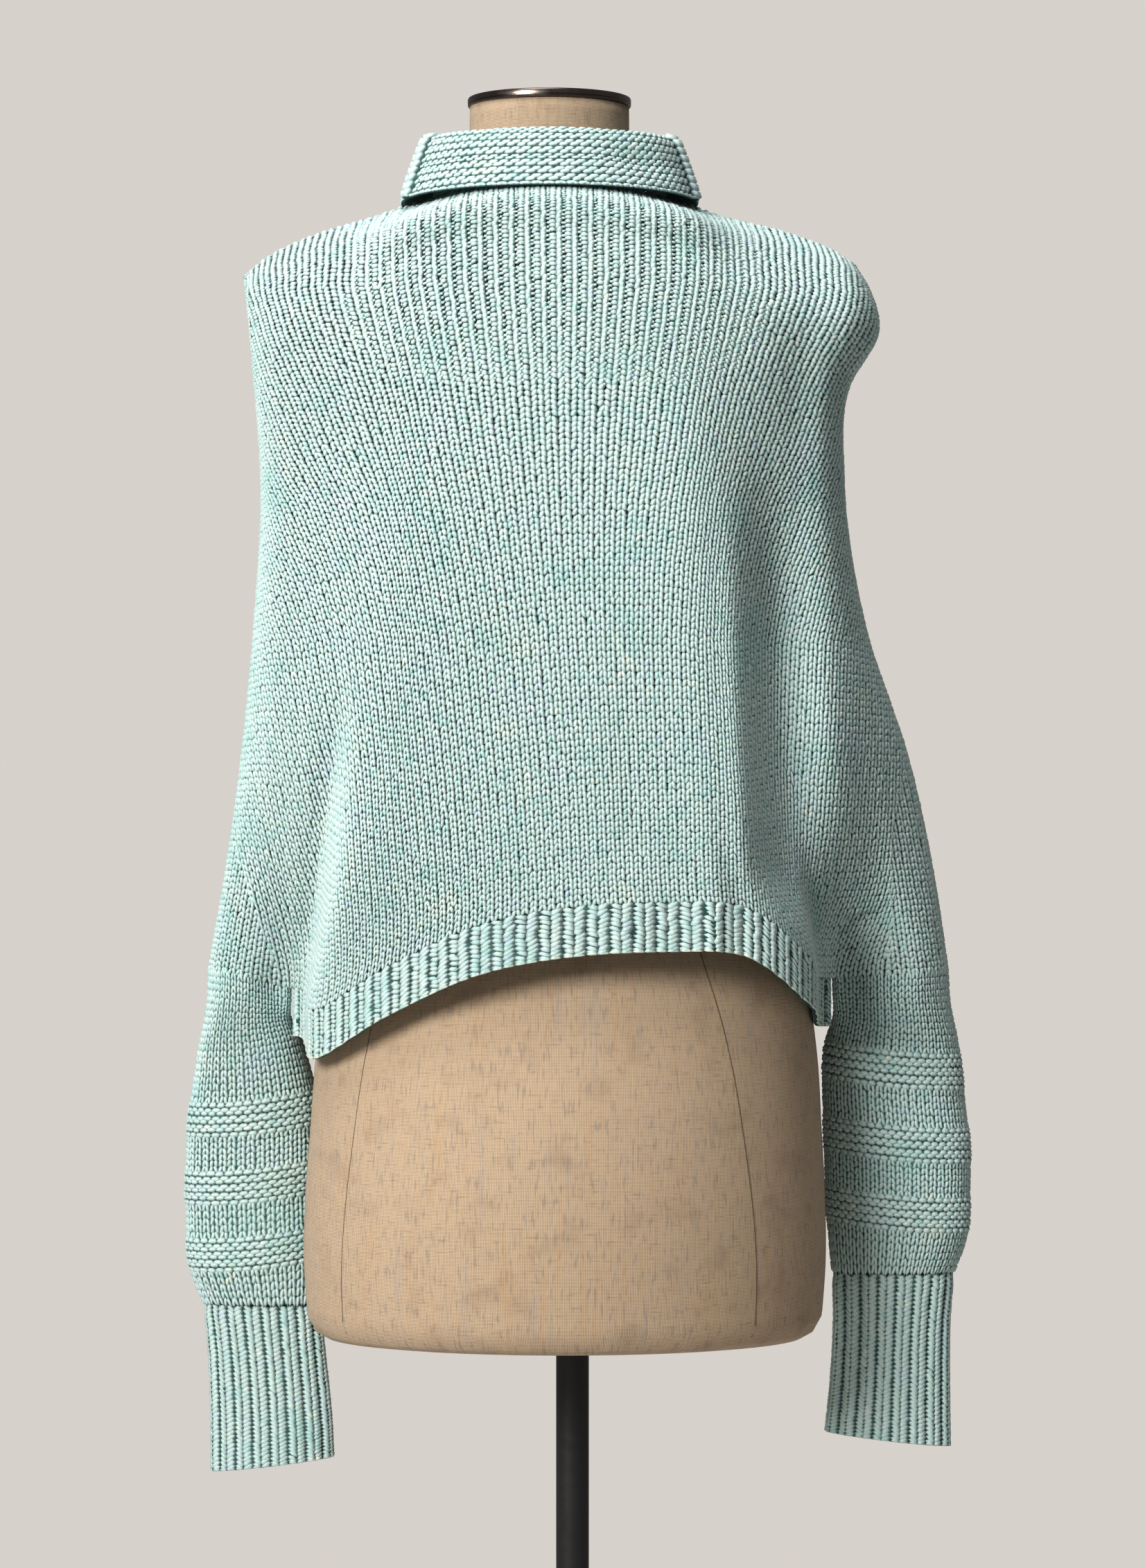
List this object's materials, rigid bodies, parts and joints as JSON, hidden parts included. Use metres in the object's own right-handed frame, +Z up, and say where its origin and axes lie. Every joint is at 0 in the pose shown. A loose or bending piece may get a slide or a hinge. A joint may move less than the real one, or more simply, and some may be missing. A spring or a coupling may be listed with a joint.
{
  "type": "batwing knitted sweater on limbless dress form",
  "caption": "Cropped batwing knitted sweater with fold-over collar, purl-banded sleeves and ribbed cuffs and hem, on a limbless linen dress form with pole and round base.",
  "frame": {"origin": "middle of the base plate's underside, on the pole's axis at floor level", "axes": "+Z up along the pole; the sweater's back faces -Y and its front faces +Y; +X runs towards the wearer's right sleeve"},
  "size_m": [0.5385, 0.35, 1.5422],
  "materials": {
    "knit": "pale aqua flecked wool-blend yarn, plain knitting",
    "knit_trim": "pale aqua flecked wool-blend yarn, ribbed and purl knitting",
    "linen": "beige slubbed linen stretched over a firm form",
    "cap_metal": "dark polished nickel",
    "stand_black": "satin black"
  },
  "bodies": {
    "root": {"body_back": "knit", "body_front": "knit", "sleeve_left": "knit", "sleeve_right": "knit", "cuff_left": "knit_trim", "cuff_right": "knit_trim", "hem_rib": "knit_trim", "collar_back": "knit_trim", "collar_front": "knit_trim", "dress_form": "linen", "neck_cap": "cap_metal", "pole": "stand_black", "pole_socket": "stand_black", "base_plate": "stand_black"}
  },
  "joints": []
}
